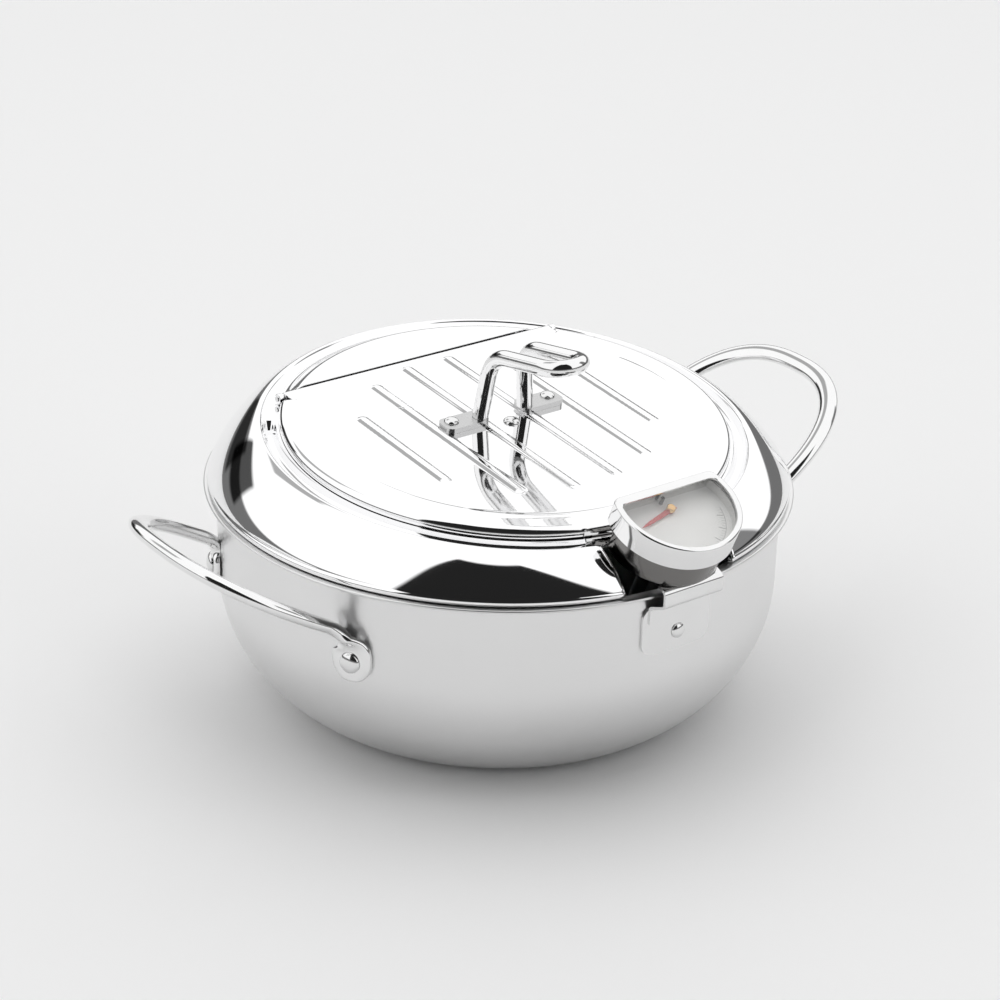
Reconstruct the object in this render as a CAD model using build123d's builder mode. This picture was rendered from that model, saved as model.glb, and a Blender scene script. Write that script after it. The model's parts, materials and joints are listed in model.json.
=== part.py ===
from build123d import *
import os
from math import cos, degrees, pi, radians, sin, sqrt

os.makedirs("parts", exist_ok=True)

# A round steel pot for deep frying, with two riveted loop handles, a lid of two pieces (a ring
# that sits on the rim and a hinged flap), and a dial thermometer on a bracket at the front.
# Origin: centre of the underside of the base. +Z up, +X through the right handle, and -Y to
# the front, where the thermometer is. Lengths are in millimetres, angles in degrees.

# Pot
rim_z = 95.0  # height of the rim above the base
wall_r = 122.0  # outside radius of the upright wall
wall_t = 1.0
bowl_r = 62.9  # large curve under the upright wall
bowl_turn = 55.9
bend_r = 20.7  # small curve that ends level with the base
flange_r = 127.5  # outer edge of the rim
flange_t = 1.4

# Loop handles
handle_root_x = 118.0  # where the arms turn down to the wall
handle_root_drop = 18.8
handle_reach = 171.0  # middle of the bar at the outermost point
handle_top = 13.4
left_reach = 167.5  # the left loop is bent a little shorter and lower
left_top = 10.4
handle_half = 48.5  # half the distance between the arms
handle_corner = 42.0
bar_wide = 8.5
bar_thick = 5.5
turn_r = 8.0  # of the bend where an arm meets the wall
lug_angle = 25.5
lug_wide = 18.0
lug_thick = 3.0
lug_high = 20.0
lug_drop = 34.0  # rivet below the rim
wall_gap = 0.1

# Lid ring
bead_r = 124.0  # middle of the rolled edge that sits on the rim
bead_tube = 1.9
bead_gap = 0.3
sheet = 1.0  # thickness of the lid's sheet
lid_slope = 4.2  # the lid's top falls towards the front
top_y = -3.6  # centre of the sloping top
top_up = 23.5  # and its height above the rim
shoulder_low = 3.0
shoulder_r = 125.4
crest_r = 106.0
crest_up = 24.5
shoulder_power = 1.3
ridge_in = 104.4
groove_r = 101.2  # middle of the drip groove
groove_tube = 3.0
groove_sink = 0.8
groove_end = 30.0  # how far behind the X axis the groove runs
ledge_r = 88.0  # inner edge of the ledge under the flap
notch_half = 28.0  # gap in the ring for the thermometer
notch_y = -100.5
notch_wall_up = 11.5

# Flap
flap_r = 97.0
flap_rise = 4.6  # top of the flap above the ring's top
flap_roll = 3.0
flap_gap = 0.35
chord_v = 64.8  # hinge line, behind the centre of the sloping top
hinge_w = 2.5
knuckle_r = 2.1
knuckle_half = 71.5
hinge_r = 1.2
hinge_half = 75.0
ear_r = 2.3
ear_in = 72.2
ear_out = 74.6
shelf_v = 67.2
running = 0.06  # radial clearance of a turning fit
rib_pitch = 22.0
rib_count = 6
rib_wide = 4.6
rib_high = 0.8
rib_reach = 64.0  # the ribs end on this circle
rib_centre_v = -2.4

# Lid handle
foot_x = 19.8
foot_v = 3.4
foot_len = 21.4
foot_wide = 10.5
foot_thick = 2.4
foot_rivet_x = 25.5
foot_rivet_v = 4.6
grip_rod = 7.2
grip_half = 8.5
grip_foot_x = 12.5
grip_foot_y = -0.8
grip_bend_y = -4.5
grip_bend_up = 59.2
grip_end_y = -40.6
grip_end_up = 66.0
grip_bend_r = 13.5
stud_v = -4.0

# Thermometer
face_y = -119.0  # centre of the dial's circle, front of the bezel
face_up = 34.4
face_tilt = 22.0
bezel_r = 27.2
bezel_cut = 10.8  # the straight side, from the circle's centre
bezel_deep = 10.8
bezel_wall = 1.0
lip = 1.2
window_r = 24.6
window_cut = 6.8
inside_r = 25.8  # glass, spacer, dial and the case's edge
inside_cut = 9.4
can_r = 24.6
can_cut = 7.0
can_deep = 24.0
can_wall = 1.0
hub_v = 2.0  # pointer's axis, up the face from the circle's centre
stem_r = 3.0
stem_wall = 0.4
stem_end = 92.0
spindle_r = 0.8
pointer_len = 18.0
pointer_turn = 194.0  # where the pointer lies at rest
bracket_t = 1.2
bracket_half = 15.0
plate_half = 17.5
plate_top = 8.0
plate_drop = 29.5
plate_rivet_drop = 21.5
plate_corner = 5.0
bracket_out = 131.6

# Rivets
head_r = 4.6
head_high = 2.4
shank_r = 2.0
tail_r = 3.8
tail_high = 1.2
tail_gap = 0.08
hole_gap = 0.05
small = 0.72  # the bracket's and the lid's rivets, against the handles'


def save(piece, name):
    piece.part.label = name
    export_step(piece.part, f"parts/{name}.step")


def beside(plane):
    """The plane through the given plane's normal, whose Y runs along that normal."""
    return Plane(origin=plane.origin, x_dir=plane.x_dir, z_dir=-plane.y_dir)


def d_shape(radius, cut):
    """A circle with the part beyond Y = cut taken away."""
    Circle(radius)
    with Locations((0, cut + radius)):
        Rectangle(3 * radius, 2 * radius, mode=Mode.SUBTRACT)


def rivet(seat, grip, scale=1.0):
    """A domed rivet. The seat faces out of the head, and the shank runs in by grip."""
    head = head_r * scale
    rise = head_high * scale
    shank = shank_r * scale
    tail = tail_r * scale
    end = -grip - tail_high * scale
    with BuildPart() as made:
        with BuildSketch(beside(seat)):
            with BuildLine():
                ThreePointArc((0, rise), (head * 0.7, rise * 0.66), (head, 0))
                Polyline((head, 0), (shank, 0), (shank, -grip), (tail, -grip), (tail, end), (0, end), (0, rise))
            make_face()
        revolve(axis=Axis(seat.origin, seat.z_dir))
    return made.part


def wall_seat(angle, radius, drop):
    """A plane against the pot's side, facing outwards, below the rim by drop."""
    a = radians(angle)
    spot = (radius * cos(a), radius * sin(a), rim_z - drop)
    return Plane(origin=spot, x_dir=(-sin(a), cos(a), 0), z_dir=(cos(a), sin(a), 0))


def bore(seat, radius, depth):
    """A rod along the seat's normal, both ways from it, to cut a hole with."""
    with BuildPart() as made:
        with BuildSketch(seat):
            Circle(radius)
        extrude(amount=depth, both=True)
    return made.part


lug_out = wall_r + wall_gap + lug_thick
handle_seats = [wall_seat(angle, lug_out, lug_drop) for angle in (-lug_angle, lug_angle, 180 - lug_angle, 180 + lug_angle)]
plate_seat = wall_seat(-90, wall_r + wall_gap + bracket_t, plate_rivet_drop)

# ---- pot ----

turn = radians(bowl_turn)
base_r = wall_r - bowl_r * (1 - cos(turn)) - bend_r * cos(turn)
upright_z = bowl_r * sin(turn) + bend_r * (1 - sin(turn))
bowl_x = wall_r - bowl_r


def around(x, z, radius, angle):
    """The point at an angle on a circle of the pot's outline, the angle below the level."""
    return (x + radius * cos(angle), z - radius * sin(angle))


half_bowl = turn / 2
half_bend = (turn + pi / 2) / 2
tip = flange_t / 2
with BuildPart() as pot_shell:
    with BuildSketch(Plane.XZ):
        with BuildLine():
            Line((0, 0), (base_r, 0))
            ThreePointArc((base_r, 0), around(base_r, bend_r, bend_r, half_bend), around(base_r, bend_r, bend_r, turn))
            ThreePointArc(around(bowl_x, upright_z, bowl_r, turn), around(bowl_x, upright_z, bowl_r, half_bowl), (wall_r, upright_z))
            Polyline((wall_r, upright_z), (wall_r, rim_z - flange_t), (flange_r - tip, rim_z - flange_t))
            ThreePointArc((flange_r - tip, rim_z - flange_t), (flange_r, rim_z - tip), (flange_r - tip, rim_z))
            Line((flange_r - tip, rim_z), (wall_r, rim_z))
            ThreePointArc((wall_r, rim_z), (wall_r - 0.71, rim_z - 0.29), (wall_r - wall_t, rim_z - 1))
            Line((wall_r - wall_t, rim_z - 1), (wall_r - wall_t, upright_z))
            ThreePointArc(
                (wall_r - wall_t, upright_z),
                around(bowl_x, upright_z, bowl_r - wall_t, half_bowl),
                around(bowl_x, upright_z, bowl_r - wall_t, turn),
            )
            ThreePointArc(
                around(base_r, bend_r, bend_r - wall_t, turn),
                around(base_r, bend_r, bend_r - wall_t, half_bend),
                (base_r, wall_t),
            )
            Polyline((base_r, wall_t), (0, wall_t), (0, 0))
        make_face()
    revolve(axis=Axis.Z)
    for seat in handle_seats:
        add(bore(seat, shank_r + hole_gap, 12), mode=Mode.SUBTRACT)
    add(bore(plate_seat, shank_r * small + hole_gap, 12), mode=Mode.SUBTRACT)
save(pot_shell, "pot_shell")

# ---- loop handles ----

bar_end = handle_half - handle_corner


def lug(angle):
    """A flat end of a handle, bent to the wall's curve."""
    with BuildPart() as made:
        with BuildSketch(wall_seat(angle, wall_r - 6, lug_drop)):
            with Locations((0, lug_high / 2 - lug_wide / 2)):
                RectangleRounded(lug_wide, lug_high, lug_wide / 2 - 0.5)
        extrude(amount=15)
        with BuildSketch(Plane.XY.offset(rim_z - 60)):
            Circle(wall_r + wall_gap + lug_thick)
            Circle(wall_r + wall_gap, mode=Mode.SUBTRACT)
        extrude(amount=60, mode=Mode.INTERSECT)
    return made.part


def loop_handle(side, reach, height):
    """One handle. The side is 1 for the right one and -1 for the left one."""
    rise = height + handle_root_drop
    run = reach - handle_root_x
    loop_len = sqrt(run * run + rise * rise)
    arm_end = loop_len - handle_corner
    root_z = rim_z - handle_root_drop
    along = Vector(side * run / loop_len, 0, rise / loop_len)
    root = Vector(side * handle_root_x, 0, root_z)
    across = Vector(0, side, 0)
    loop_plane = Plane(origin=root, x_dir=along, z_dir=along.cross(across))
    end_x = handle_root_x - turn_r * (1 - rise / loop_len)
    end_z = root_z - turn_r * run / loop_len
    centre_x = handle_root_x + turn_r * rise / loop_len
    # Middle of the turn, halfway between the arm's direction and straight down.
    middle = (1 + rise / loop_len, run / loop_len)
    size = sqrt(middle[0] ** 2 + middle[1] ** 2)
    mid_x = centre_x - turn_r * middle[0] / size
    mid_z = end_z + turn_r * middle[1] / size
    with BuildPart() as made:
        with BuildLine() as path:
            for s in (-1, 1):
                y = s * handle_half
                arm = [loop_plane.from_local_coords((d, s * side * handle_half)) for d in (0, arm_end)]
                corner = handle_corner * sqrt(0.5)
                bend = loop_plane.from_local_coords((arm_end + corner, s * side * (bar_end + corner)))
                bar = loop_plane.from_local_coords((loop_len, s * side * bar_end))
                Line((side * end_x, y, end_z - 4), (side * end_x, y, end_z))
                ThreePointArc((side * end_x, y, end_z), (side * mid_x, y, mid_z), arm[0])
                Line(arm[0], arm[1])
                ThreePointArc(arm[1], bend, bar)
            Line(
                loop_plane.from_local_coords((loop_len, -bar_end)),
                loop_plane.from_local_coords((loop_len, bar_end)),
            )
        start = Plane(origin=(side * end_x, -handle_half, end_z - 4), x_dir=(0, 1, 0), z_dir=(0, 0, 1))
        with BuildSketch(start):
            Ellipse(bar_wide / 2, bar_thick / 2)
        sweep(path=path.wire())
        with BuildSketch(Plane.XY.offset(rim_z - 60)):
            Circle(wall_r + wall_gap)
        extrude(amount=80, mode=Mode.SUBTRACT)
        for s in (-1, 1):
            angle = (0 if side > 0 else 180) + s * lug_angle
            add(lug(angle))
            add(bore(wall_seat(angle, wall_r, lug_drop), shank_r + hole_gap, 12), mode=Mode.SUBTRACT)
    return made


left_handle = loop_handle(-1, left_reach, left_top)
save(left_handle, "left_handle")
right_handle = loop_handle(1, handle_reach, handle_top)
save(right_handle, "right_handle")

with BuildPart() as handle_rivets:
    for seat in handle_seats:
        add(rivet(seat, lug_thick + wall_gap + wall_t + tail_gap))
save(handle_rivets, "handle_rivets")

# ---- thermometer bracket ----

tilt = radians(face_tilt)
face = Plane(origin=(0, face_y, rim_z + face_up), x_dir=(1, 0, 0), z_dir=(0, -sin(tilt), cos(tilt)))
hub = Plane(origin=face.from_local_coords((0, hub_v, 0)), x_dir=(1, 0, 0), z_dir=face.z_dir)
tab_mid = can_deep + bracket_t / 2


def tab_point(v):
    """A point of the tab's middle line as (Y, Z), v up the face from the circle's centre."""
    y = face_y + v * cos(tilt) + tab_mid * sin(tilt)
    return (y, rim_z + face_up + v * sin(tilt) - tab_mid * cos(tilt))


tab_low = (-bracket_out - face_y - tab_mid * sin(tilt)) / cos(tilt)
plate_y = -(wall_r + wall_gap + bracket_t / 2)
with BuildPart() as thermometer_bracket:
    with BuildSketch(Plane.XZ.offset(wall_r - 8)):
        with Locations((0, rim_z - (plate_top + plate_drop) / 2)):
            RectangleRounded(2 * plate_half, plate_drop - plate_top, plate_corner)
    extrude(amount=20)
    with BuildSketch(Plane.XY.offset(rim_z - 40)):
        Circle(wall_r + wall_gap + bracket_t)
        Circle(wall_r + wall_gap, mode=Mode.SUBTRACT)
    extrude(amount=40, mode=Mode.INTERSECT)
    with BuildSketch(Plane.YZ) as strip:
        with BuildLine() as strip_line:
            FilletPolyline(
                (plate_y, rim_z - 15),
                (plate_y, rim_z - 7.5),
                (-bracket_out, rim_z - 3.8),
                tab_point(tab_low),
                tab_point(7.5),
                radius=2.2,
            )
        trace(line_width=bracket_t)
    extrude(amount=bracket_half, both=True)
    add(bore(hub.offset(-tab_mid), stem_r + hole_gap, 3), mode=Mode.SUBTRACT)
    add(bore(plate_seat, shank_r * small + hole_gap, 4), mode=Mode.SUBTRACT)
save(thermometer_bracket, "thermometer_bracket")

with BuildPart() as bracket_rivet:
    add(rivet(plate_seat, bracket_t + wall_gap + wall_t + tail_gap, small))
save(bracket_rivet, "bracket_rivet")

# ---- thermometer ----

flange_back = bezel_deep - 0.4
with BuildPart() as thermometer_case:
    with BuildSketch(face.offset(-flange_back)):
        d_shape(inside_r, inside_cut)
    extrude(amount=2.0)
    with BuildSketch(face.offset(-can_deep)):
        d_shape(can_r, can_cut)
    extrude(amount=can_deep - flange_back)
    with BuildSketch(face.offset(-can_deep + can_wall)):
        d_shape(can_r - can_wall, can_cut - can_wall)
    extrude(amount=can_deep, mode=Mode.SUBTRACT)
    add(bore(hub.offset(-can_deep), stem_r + hole_gap, 4), mode=Mode.SUBTRACT)
save(thermometer_case, "thermometer_case")

with BuildPart() as bezel:
    with BuildSketch(face.offset(-bezel_deep)):
        d_shape(bezel_r, bezel_cut)
    extrude(amount=bezel_deep)
    fillet(bezel.faces().sort_by(Axis(face.origin, face.z_dir))[-1].edges(), radius=0.9)
    with BuildSketch(face.offset(-bezel_deep)):
        d_shape(bezel_r - bezel_wall, bezel_cut - bezel_wall)
    extrude(amount=bezel_deep - lip, mode=Mode.SUBTRACT)
    with BuildSketch(face.offset(-bezel_deep)):
        d_shape(window_r, window_cut)
    extrude(amount=2 * bezel_deep, mode=Mode.SUBTRACT)
save(bezel, "bezel")

with BuildPart() as lens:
    with BuildSketch(face.offset(-2.9)):
        d_shape(inside_r, inside_cut)
    extrude(amount=1.6)
save(lens, "lens")

with BuildPart() as dial_spacer:
    with BuildSketch(face.offset(-7.5)):
        d_shape(inside_r, inside_cut)
        d_shape_gap = 0.9
        with BuildSketch(mode=Mode.PRIVATE) as hole:
            d_shape(inside_r - d_shape_gap, inside_cut - d_shape_gap)
        add(hole.sketch, mode=Mode.SUBTRACT)
    extrude(amount=4.5)
save(dial_spacer, "dial_spacer")

with BuildPart() as dial_plate:
    with BuildSketch(face.offset(-8.3)):
        d_shape(inside_r, inside_cut)
    extrude(amount=0.7)
    add(bore(hub.offset(-8), 1.4, 2), mode=Mode.SUBTRACT)
save(dial_plate, "dial_plate")

with BuildPart() as stop_pin:
    with BuildSketch(face.offset(-7.58)):
        with Locations((-1.0, hub_v + 5.0)):
            Circle(0.8)
    extrude(amount=3.4)
save(stop_pin, "stop_pin")

with BuildPart() as stem_tube:
    with BuildSketch(hub.offset(-stem_end)):
        Circle(stem_r)
    extrude(amount=stem_end - 21.5)
    with BuildSketch(hub.offset(-can_deep + can_wall + 0.02)):
        Circle(stem_r + 0.9)
    extrude(amount=1.0)
    fillet(stem_tube.faces().sort_by(Axis(face.origin, face.z_dir))[0].edges(), radius=1.2)
    with BuildSketch(hub.offset(-stem_end + 1)):
        Circle(stem_r - stem_wall)
    extrude(amount=stem_end, mode=Mode.SUBTRACT)
save(stem_tube, "stem_tube")

with BuildPart() as spindle_bush:
    with BuildSketch(hub.offset(-27)):
        Circle(stem_r - stem_wall - hole_gap)
        Circle(spindle_r + running, mode=Mode.SUBTRACT)
    extrude(amount=5)
save(spindle_bush, "spindle_bush")

with BuildPart() as clamp_nut:
    with BuildSketch(hub.offset(-can_deep - bracket_t - 3.0)):
        RegularPolygon(4.6, 6)
        Circle(stem_r + hole_gap, mode=Mode.SUBTRACT)
    extrude(amount=2.97)
save(clamp_nut, "clamp_nut")

coil_base = hub.offset(-stem_end + 2.5)
with BuildPart() as bimetal_coil:
    with BuildLine():
        wind = Helix(pitch=1.6, height=17.6, radius=1.7, center=coil_base.origin, direction=coil_base.z_dir)
    with BuildSketch(Plane(origin=wind @ 0, z_dir=wind % 0)):
        Circle(0.35)
    sweep(path=wind, is_frenet=True)
save(bimetal_coil, "bimetal_coil")

with BuildPart() as spindle:
    with BuildSketch(hub.offset(-stem_end + 3)):
        Circle(spindle_r)
    extrude(amount=stem_end - 3 - 5.7)
save(spindle, "spindle")

with BuildPart() as pointer:
    with BuildSketch(hub.offset(-6.9)):
        with BuildLine():
            Polyline(
                (0, -1.2),
                (pointer_len - 4, -0.7),
                (pointer_len, 0),
                (pointer_len - 4, 0.7),
                (0, 1.2),
                (-3.2, 0.9),
                (-3.2, -0.9),
                close=True,
            )
        make_face()
        Circle(1.7)
        Circle(spindle_r + 0.02, mode=Mode.SUBTRACT)
    extrude(amount=0.4)
pointer.part = pointer.part.rotate(Axis(hub.origin, hub.z_dir), pointer_turn)
save(pointer, "pointer")

with BuildPart() as pointer_cap:
    with BuildSketch(hub.offset(-6.48)):
        Circle(1.9)
    extrude(amount=1.7)
    fillet(pointer_cap.faces().sort_by(Axis(face.origin, face.z_dir))[-1].edges(), radius=0.5)
    with BuildSketch(hub.offset(-6.48)):
        Circle(spindle_r + 0.02)
    extrude(amount=0.9, mode=Mode.SUBTRACT)
save(pointer_cap, "pointer_cap")

# ---- lid ring ----

slope = radians(lid_slope)
top = Plane(origin=(0, top_y, rim_z + top_up), x_dir=(1, 0, 0), z_dir=(0, -sin(slope), cos(slope)))
top_side = beside(top)
top_axis = Axis(top.origin, top.z_dir)


def shoulder_levels(inset):
    """Planes and radii up the lid's shoulder, which turn from level to the slope of its top."""
    levels = []
    for step in (0.0, 0.22, 0.45, 0.7, 1.0):
        angle = step * pi / 2
        out = (shoulder_r - crest_r - inset) * cos(angle) ** (2 / shoulder_power) if step < 1 else 0
        climb = (crest_up - shoulder_low - inset) * sin(angle) ** (2 / shoulder_power)
        share = climb / (crest_up - shoulder_low)
        lean = share * sin(slope)
        centre = (0, share * top_y, rim_z + shoulder_low + climb + share * share * top_y * sin(slope))
        level = Plane(origin=centre, x_dir=(1, 0, 0), z_dir=(0, -lean, sqrt(1 - lean * lean)))
        levels.append((level, crest_r + out))
    return levels


with BuildPart() as shoulder:
    for level, radius in shoulder_levels(0):
        with BuildSketch(level):
            Circle(radius)
    loft()
with BuildPart() as shoulder_space:
    for level, radius in shoulder_levels(1.1):
        with BuildSketch(level):
            Circle(radius)
    loft()

with BuildPart() as shelf:
    with BuildSketch(top_side):
        with BuildLine():
            Polyline((0, flap_rise - sheet), (0, flap_rise), (90, flap_rise))
            Bezier((90, flap_rise), (95, flap_rise), (95, 0), (99.5, 0))
            Polyline((99.5, 0), (99.5, -sheet), (98.5, -sheet))
            Bezier((98.5, -sheet), (94, -sheet), (94, flap_rise - sheet), (89, flap_rise - sheet))
            Line((89, flap_rise - sheet), (0, flap_rise - sheet))
        make_face()
    revolve(axis=top_axis)
    with BuildSketch(top.offset(-10)):
        with Locations((0, shelf_v + 50)):
            Rectangle(300, 100)
    extrude(amount=30, mode=Mode.INTERSECT)

with BuildPart() as recess:
    with BuildSketch(Plane.XY.offset(rim_z + notch_wall_up)):
        with Locations((0, notch_y - 15 + sheet)):
            Rectangle(2 * (notch_half + sheet), 30)
        with Locations((0, notch_y - 16)):
            Rectangle(2 * notch_half, 32, mode=Mode.SUBTRACT)
    extrude(amount=30)
    add(shoulder.part, mode=Mode.INTERSECT)
    with BuildSketch(top.offset(-30)):
        Rectangle(300, 300)
    extrude(amount=30 - 0.1, mode=Mode.INTERSECT)

groove_turn = 180 + 2 * groove_end
hinge_line = Plane(origin=top.from_local_coords((0, chord_v, hinge_w)), x_dir=top.y_dir, z_dir=(1, 0, 0))


def groove_solid(radius, ceiling):
    """The groove's round bottom with round ends, up to a height over its middle."""
    with BuildPart() as made:
        with BuildSketch(top_side):
            with Locations((groove_r, -groove_sink)):
                Circle(radius)
        revolve(axis=top_axis, revolution_arc=groove_turn)
        made.part = made.part.rotate(top_axis, -180 - groove_end)
        for angle in (groove_end, 180 - groove_end):
            a = radians(angle)
            spot = top.from_local_coords((groove_r * cos(a), groove_r * sin(a), -groove_sink))
            with Locations(spot):
                Sphere(radius)
        with BuildSketch(top.offset(-12)):
            Rectangle(300, 300)
        extrude(amount=12 - groove_sink + ceiling, mode=Mode.INTERSECT)
    return made.part


with BuildPart() as notch:
    with BuildSketch(Plane.XY.offset(rim_z - 5)):
        with Locations((0, notch_y - 20)):
            Rectangle(2 * notch_half, 40)
    extrude(amount=60)

with BuildPart() as lid_ring:
    add(shoulder.part)
    add(notch.part, mode=Mode.SUBTRACT)
    add(shoulder_space.part, mode=Mode.SUBTRACT)
    with BuildSketch(top):
        Circle(ridge_in)
    extrude(amount=6, mode=Mode.SUBTRACT)
    with BuildSketch(top.offset(-12)):
        Circle(ledge_r)
    extrude(amount=20, mode=Mode.SUBTRACT)
    with BuildSketch(top.offset(-sheet)):
        Circle(crest_r + 0.5)
        Circle(ledge_r, mode=Mode.SUBTRACT)
    extrude(amount=sheet)
    add(groove_solid(groove_tube + 0.9, 0.7))
    add(groove_solid(groove_tube, 2.2), mode=Mode.SUBTRACT)
    with BuildSketch(Plane.XZ):
        with Locations((bead_r, rim_z + bead_gap + bead_tube)):
            Circle(bead_tube)
    revolve(axis=Axis.Z)
    add(shelf.part)
    for s in (-1, 1):
        with BuildSketch(hinge_line.offset(s * ear_in)):
            Circle(ear_r)
            with Locations((0, -hinge_w / 2 - 0.2)):
                Rectangle(2 * ear_r - 0.6, hinge_w + 0.4)
        extrude(amount=s * (ear_out - ear_in))
    with BuildSketch(hinge_line):
        Circle(hinge_r + hole_gap)
    extrude(amount=hinge_half + 5, both=True, mode=Mode.SUBTRACT)
    add(notch.part, mode=Mode.SUBTRACT)
    add(recess.part)
save(lid_ring, "lid_ring")

with BuildPart() as hinge_rod:
    with BuildSketch(hinge_line):
        Circle(hinge_r)
    extrude(amount=hinge_half, both=True)
save(hinge_rod, "hinge_rod")

# ---- flap ----

foot_top = flap_rise + 0.02 + foot_thick
foot_seats = [
    Plane(origin=top.from_local_coords((s * foot_rivet_x, foot_rivet_v, foot_top)), x_dir=(1, 0, 0), z_dir=top.z_dir)
    for s in (-1, 1)
]
stud_seat = Plane(
    origin=top.from_local_coords((0, stud_v, flap_rise + 0.02)),
    x_dir=(1, 0, 0),
    z_dir=top.z_dir,
)

with BuildPart() as lid_flap:
    with BuildSketch(top_side):
        with BuildLine():
            Line((0, flap_rise), (flap_r - flap_roll, flap_rise))
            RadiusArc((flap_r - flap_roll, flap_rise), (flap_r, flap_rise - flap_roll), flap_roll)
            Polyline((flap_r, flap_rise - flap_roll), (flap_r, flap_gap), (flap_r - sheet, flap_gap))
            Line((flap_r - sheet, flap_gap), (flap_r - sheet, flap_rise - flap_roll))
            RadiusArc(
                (flap_r - sheet, flap_rise - flap_roll),
                (flap_r - flap_roll, flap_rise - sheet),
                -(flap_roll - sheet),
            )
            Polyline((flap_r - flap_roll, flap_rise - sheet), (0, flap_rise - sheet), (0, flap_rise))
        make_face()
    revolve(axis=top_axis)
    # Ribs run front to back.
    for i in range(rib_count):
        x = (i - (rib_count - 1) / 2) * rib_pitch
        reach = sqrt(rib_reach * rib_reach - x * x)
        with BuildSketch(top.offset(flap_rise - 0.4)):
            with Locations((x, rib_centre_v)):
                SlotOverall(2 * reach, rib_wide, rotation=90)
        extrude(amount=0.4 + rib_high)
    with BuildSketch(top.offset(-2)):
        with Locations((0, chord_v + 50)):
            Rectangle(300, 100)
        for s in (-1, 1):
            with Locations((s * (knuckle_half + 10), chord_v)):
                Rectangle(20, 2 * ear_r + 2.0)
    extrude(amount=20, mode=Mode.SUBTRACT)
    with BuildSketch(hinge_line):
        Circle(knuckle_r)
    extrude(amount=knuckle_half, both=True)
    with BuildSketch(hinge_line):
        Circle(hinge_r + running)
    extrude(amount=80, both=True, mode=Mode.SUBTRACT)
    for seat in foot_seats + [stud_seat]:
        add(bore(seat, shank_r * small + hole_gap, 6), mode=Mode.SUBTRACT)
save(lid_flap, "lid_flap")

with BuildPart() as lid_handle:
    bend_z = rim_z + grip_bend_up
    leg_z = rim_z + top_up + flap_rise - 4
    with BuildLine() as grip:
        for s in (-1, 1):
            FilletPolyline(
                (s * grip_foot_x, grip_foot_y, leg_z),
                (s * grip_half, grip_bend_y, bend_z),
                (s * grip_half, grip_end_y, rim_z + grip_end_up),
                radius=grip_bend_r,
            )
        drop = (grip_end_up - grip_bend_up) / (grip_bend_y - grip_end_y)
        far = grip_half / sqrt(1 + drop * drop)
        ThreePointArc(
            (-grip_half, grip_end_y, rim_z + grip_end_up),
            (0, grip_end_y - far, rim_z + grip_end_up + far * drop),
            (grip_half, grip_end_y, rim_z + grip_end_up),
        )
    grip_wire = grip.wire()
    with BuildSketch(Plane(origin=grip_wire @ 0, z_dir=grip_wire % 0)):
        Circle(grip_rod / 2)
    sweep(path=grip_wire)
    with BuildSketch(top.offset(-20)):
        Rectangle(120, 120)
    extrude(amount=20 + foot_top + 0.02, mode=Mode.SUBTRACT)
save(lid_handle, "lid_handle")


def foot(side):
    with BuildPart() as made:
        with BuildSketch(top.offset(flap_rise + 0.02)):
            with Locations((side * foot_x, foot_v)):
                RectangleRounded(foot_len, foot_wide, 3.0)
        extrude(amount=foot_thick)
        # A step under the inner end clears the rib that it crosses.
        with BuildSketch(top.offset(0)):
            with Locations((side * rib_pitch / 2, foot_v)):
                Rectangle(rib_wide + 0.3, 2 * foot_wide)
        extrude(amount=flap_rise + rib_high + 0.04, mode=Mode.SUBTRACT)
        for seat in foot_seats:
            add(bore(seat, shank_r * small + hole_gap, 4), mode=Mode.SUBTRACT)
    return made


left_foot = foot(-1)
save(left_foot, "left_foot")
right_foot = foot(1)
save(right_foot, "right_foot")

with BuildPart() as foot_rivets:
    for seat in foot_seats:
        add(rivet(seat, foot_thick + sheet + 0.06, small))
save(foot_rivets, "foot_rivets")

with BuildPart() as centre_stud:
    add(rivet(stud_seat, sheet + 0.06, small))
save(centre_stud, "centre_stud")
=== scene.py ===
import bpy
import bmesh
import json
import math
import numpy as np
from mathutils import Matrix, Vector


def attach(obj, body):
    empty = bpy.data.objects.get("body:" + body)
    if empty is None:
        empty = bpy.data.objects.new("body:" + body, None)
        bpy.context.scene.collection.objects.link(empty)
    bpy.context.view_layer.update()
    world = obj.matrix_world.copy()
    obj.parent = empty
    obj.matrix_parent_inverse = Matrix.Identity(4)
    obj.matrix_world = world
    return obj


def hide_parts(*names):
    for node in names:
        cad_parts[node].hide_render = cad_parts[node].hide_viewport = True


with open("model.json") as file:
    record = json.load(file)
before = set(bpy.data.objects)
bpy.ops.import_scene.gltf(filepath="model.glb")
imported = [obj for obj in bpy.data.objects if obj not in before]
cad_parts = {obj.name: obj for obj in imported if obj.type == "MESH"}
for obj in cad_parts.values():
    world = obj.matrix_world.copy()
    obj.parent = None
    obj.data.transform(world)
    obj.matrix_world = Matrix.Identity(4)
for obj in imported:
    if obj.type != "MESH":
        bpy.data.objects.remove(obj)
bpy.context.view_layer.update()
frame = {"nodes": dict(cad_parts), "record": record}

mm = 0.001

# Heights and radii shared by several pieces, in millimetres.
pot = {"rim": 95.0, "wallRadius": 122.0, "wallThick": 1.0, "bowlRadius": 62.9, "bowlTurn": 55.9,
       "bendRadius": 20.7, "rimRadius": 127.5, "rimThick": 1.4}
lid = {"slope": 4.2, "topY": -3.6, "topUp": 23.5, "crestRadius": 106.0, "crestUp": 24.5,
       "shoulderRadius": 125.4, "shoulderLow": 3.0, "power": 1.3, "beadRadius": 124.0, "beadTube": 1.9,
       "beadUp": 2.2, "grooveRadius": 101.2, "grooveHalf": 3.05, "grooveDeep": 3.6, "grooveEnd": 30.0,
       "notchHalf": 28.0, "notchV": -97.16, "notchWall": 11.5, "sheet": 1.0}

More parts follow.
